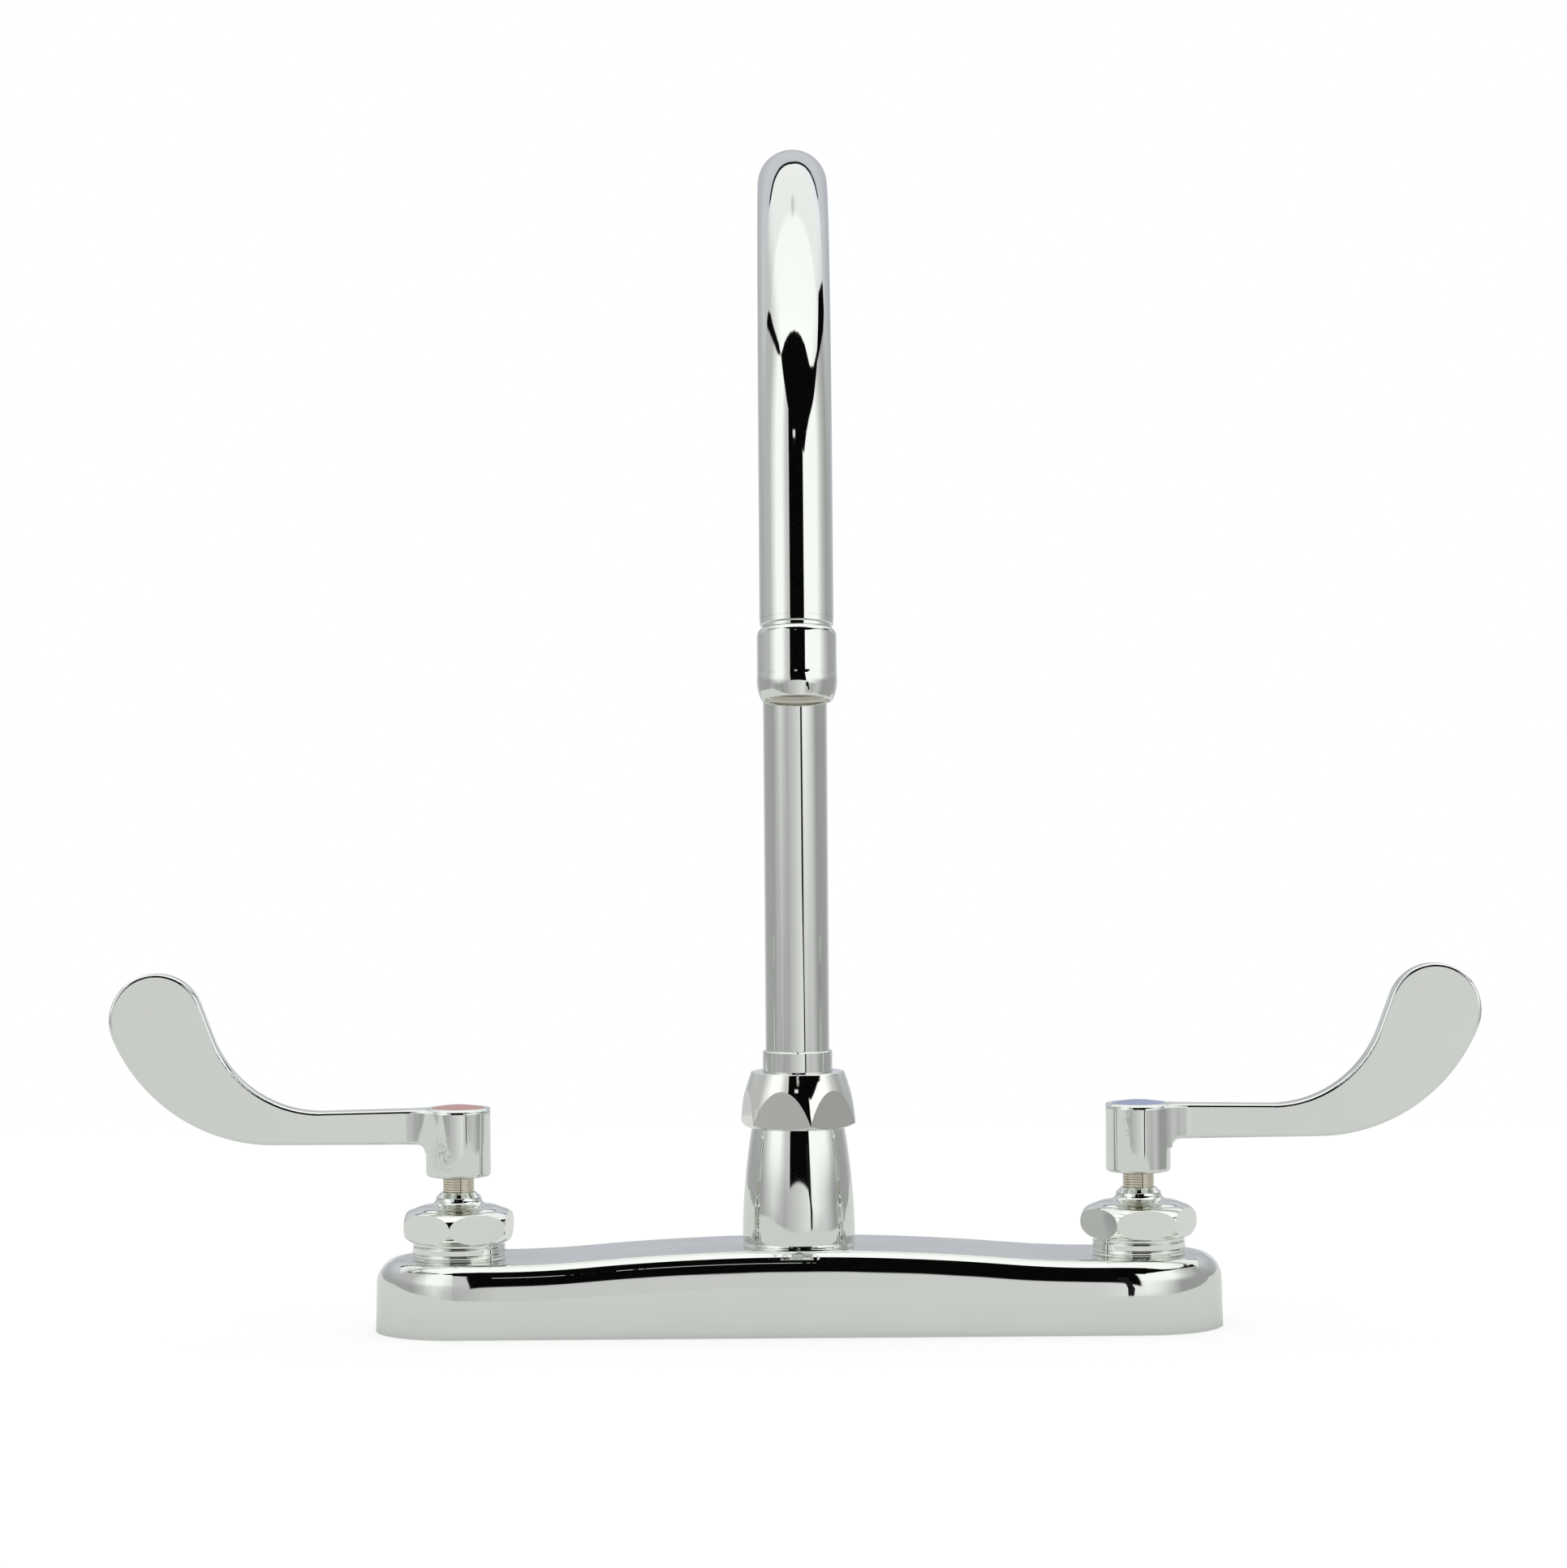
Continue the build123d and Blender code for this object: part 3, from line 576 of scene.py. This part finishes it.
# Elevations in degrees of the walls' top edge and of the ceiling's lower edge, by azimuth. The gap between
# them is dark. Both were fitted to the outlines of the photograph's reflections.
wall_tops = [
    (-180, 34.6), (-147, 32.8), (-144, 34.0), (-130, 28.5), (-118, 26.0), (-110.6, 27.4), (-102, 31.2), (-92, 35.0),
    (-81, 38.4), (-67, 41.2), (-56.7, 44.5), (-37.8, 39.4), (-23.5, 34.5), (28.9, 24.0), (49.6, 28.3),
    (69, 28.9), (90, 30.4), (106, 26.4), (120, 21.9), (127, 20.8), (129, 24.5), (138, 25.5), (149, 28.4),
    (151, 26.9), (180, 34.6),
]
ceiling_edges = [
    (-180, 37.4), (-147, 35.8), (-144, 34.0), (-130, 28.5), (-118, 26.0), (-114, 25.9), (-112, 30.8), (-103, 35.7),
    (-92, 39.0), (-80, 42.3), (-68, 44.7), (-56.7, 44.5), (-45, 51.6), (-34, 55.9), (-20, 59.2), (0, 60.8),
    (20, 59.2), (34, 56.0), (48, 50.1), (61.4, 39.9), (75, 35.2), (92, 32.4), (113, 34.5), (125, 27.6),
    (129, 24.5), (138, 25.5), (149, 28.4), (151, 29.7), (180, 37.4),
]


def ring(azimuth, pairs, peak):
    """The value of a ring of (azimuth, value) pairs up to a peak, at an azimuth signal in degrees."""
    stops = [((a + 180) / 360, value / peak) for a, value in pairs]
    return (azimuth / 360 + 0.5).ramp(stops) * peak


def around(azimuth, tones):
    """The light of a ring of (azimuth, tone) pairs at an azimuth signal in degrees."""
    return ring(azimuth, [(a, tone(t)) for a, t in tones], tone(max(t for a, t in tones)))


def tent_walls(azimuth, elevation):
    """The tent's walls, which lose their two bright peaks towards the table."""
    high = around(azimuth, high_walls)
    loss = ring(azimuth, peak_losses, 1.0) * (elevation * -0.24).math("MAXIMUM", 0.0).math("MINIMUM", 1.45)
    low = around(azimuth, low_walls) * (1 - loss)
    lifted = elevation.smooth(0.0, 10.0)
    back = azimuth.math("ABSOLUTE").smooth(104.0, 130.0) * elevation.smooth(7.0, 24.0) * 0.34
    return high * lifted * (1 + back) + low * (1 - lifted)


def with_opening(walls, azimuth, elevation):
    """The walls with the dark opening behind the camera and the pale apron with an arched top below it."""
    left = elevation * -0.16 - 18.0
    right = elevation * -0.1 + 27.0
    across = (azimuth - left).smooth(-0.8, 0.8) * (right - azimuth).smooth(-0.8, 0.8)
    arch = 4.7 - azimuth * azimuth * 0.0036
    above = (elevation - arch).smooth(-0.4, 0.4)
    apron = (azimuth + 26.0).smooth(-2.0, 2.0) * (20.0 - azimuth).smooth(-2.0, 2.0) * (1 - above)
    gap = (elevation - ring(azimuth, wall_tops, 90.0)).smooth(-0.5, 0.5)
    dark = (across * above).math("MAXIMUM", gap)
    lit = walls * (1 - apron) + around(azimuth, apron_tones) * apron
    lamp = (azimuth - lamp_azimuth).math("ABSOLUTE").smooth(3.6, 4.4, 1.0, 0.0)
    lamp = lamp * (elevation - lamp_elevation).math("ABSOLUTE").smooth(0.5, 0.8, 1.0, 0.0)
    return lit * (1 - dark) + dark * (lamp * 0.9 + 0.002)


def with_ceiling(lower, x, y, z, azimuth, elevation):
    """The overhead diffuser: brightest at its front edge, with a grey patch towards the back and greyer sides."""
    along = y / z.math("MAXIMUM", 0.2)
    aside = x / z.math("MAXIMUM", 0.2)
    front = along.smooth(-0.6, 0.2, tone(254), tone(250)) * along.smooth(0.26, 0.4, 1.0, 0.86)
    patch = (aside * aside * 160.0 + (along - 0.42) * (along - 0.42) * 34.0).smooth(0.0, 1.0, 0.72, 1.0)
    sides = aside.smooth(-1.35, -0.65, 0.66, 1.0) * aside.smooth(1.0, 1.6, 1.0, 0.85)
    bright = front * patch * sides
    inside = (elevation - ring(azimuth, ceiling_edges, 90.0)).smooth(-0.5, 0.5)
    return lower * (1 - inside) + bright * inside


def tent_world():
    """The world: white to the camera, soft even light to diffuse surfaces and the tent's walls to the chrome."""
    world = bpy.data.worlds.new("tent")
    bpy.context.scene.world = world
    world.use_nodes = True
    tree = world.node_tree
    tree.nodes.clear()
    start = Signal(tree, tree.nodes.new("ShaderNodeTexCoord").outputs["Generated"])
    x, y, z = split(start)
    azimuth = x.math("ARCTAN2", y * -1) * math.degrees(1)
    elevation = z.math("ARCSINE") * math.degrees(1)
    walls = with_opening(tent_walls(azimuth, elevation), azimuth, elevation)
    walls = with_ceiling(walls, x, y, z, azimuth, elevation)
    path = tree.nodes.new("ShaderNodeLightPath")
    to_camera = Signal(tree, path.outputs["Is Camera Ray"])
    to_glossy = Signal(tree, path.outputs["Is Glossy Ray"])
    soft = z.smooth(-0.2, 1.0, 0.78, 1.12)
    strength = to_camera + (1 - to_camera) * (to_glossy * walls + (1 - to_glossy) * soft)
    behind = azimuth.math("ABSOLUTE").smooth(110.0, 150.0) * elevation.smooth(34.0, 38.0, 1.0, 0.0)
    cool = (behind * elevation.smooth(-2.0, 2.0) * to_glossy).mixed((1.0, 1.0, 1.0), (0.94, 0.965, 1.03))
    background = start.node("ShaderNodeBackground", inputs={"Color": cool, "Strength": strength})
    out = tree.nodes.new("ShaderNodeOutputWorld")
    tree.links.new(background.socket, out.inputs["Surface"])


def table():
    """The white table: white to the camera with a faint shadow, and a pale diffuse surface to the chrome."""
    material = bpy.data.materials.new("table")
    material.use_nodes = True
    tree = material.node_tree
    tree.nodes.clear()
    path = tree.nodes.new("ShaderNodeLightPath")
    to_camera = Signal(tree, path.outputs["Is Camera Ray"])
    pale = to_camera.node("ShaderNodeBsdfDiffuse", inputs={"Color": (0.72, 0.73, 0.715)})
    white = to_camera.node("ShaderNodeBsdfDiffuse", inputs={"Color": (0.97, 0.97, 0.97)})
    glowing = to_camera.node("ShaderNodeEmission", inputs={"Strength": 1.02})
    seen = to_camera.node("ShaderNodeMixShader", inputs={0: 0.72, 1: white, 2: glowing})
    mixed = to_camera.node("ShaderNodeMixShader", inputs={0: to_camera, 1: pale, 2: seen})
    out = tree.nodes.new("ShaderNodeOutputMaterial")
    tree.links.new(mixed.socket, out.inputs["Surface"])
    outline = [
        (-0.8, -0.42), (-0.4, -0.48), (0.2, -0.52), (0.35, -0.42), (0.45, -0.1), (0.46, 0.15), (0.56, 0.25),
        (0.56, 0.62), (-0.8, 0.62),
    ]
    points = [(x, y, -0.0002) for x, y in outline]
    return stage_piece("table", points, [list(range(len(points)))], material)


def opening_tail():
    """The dark strip that hangs from the opening's right side down beside the apron."""
    left = [(0.222, 0.19), (0.240, 0.10), (0.268, 0.075), (0.295, 0.055), (0.310, 0.03), (0.315, -0.03)]
    right = [(0.307, 0.19), (0.335, 0.10), (0.337, 0.075), (0.350, 0.055), (0.375, 0.03), (0.360, -0.03)]
    points = [(x, -tail_distance, z) for x, z in left + right[::-1]]
    dark = glow("dark_room", 0.012)
    return reflected_only(stage_piece("opening_tail", points, [list(range(len(points)))], dark))


tent_world()
table()
opening_tail()


# Camera


def look():
    """The photograph's view: a long lens just above the middle of the spout, tipped and rolled a little."""
    lens = bpy.data.cameras.new("camera")
    lens.lens = camera_lens
    lens.sensor_width = 36.0
    lens.clip_start = 0.05
    camera = bpy.data.objects.new("camera", lens)
    turn = Matrix.Rotation(math.radians(camera_yaw), 4, "Z")
    turn = turn @ Matrix.Rotation(math.radians(90 - camera_pitch), 4, "X")
    turn = turn @ Matrix.Rotation(math.radians(camera_roll), 4, "Z")
    camera.matrix_world = Matrix.Translation(camera_place) @ turn
    bpy.context.scene.collection.objects.link(camera)
    bpy.context.scene.camera = camera


look()
bpy.context.scene.view_settings.view_transform = "Standard"
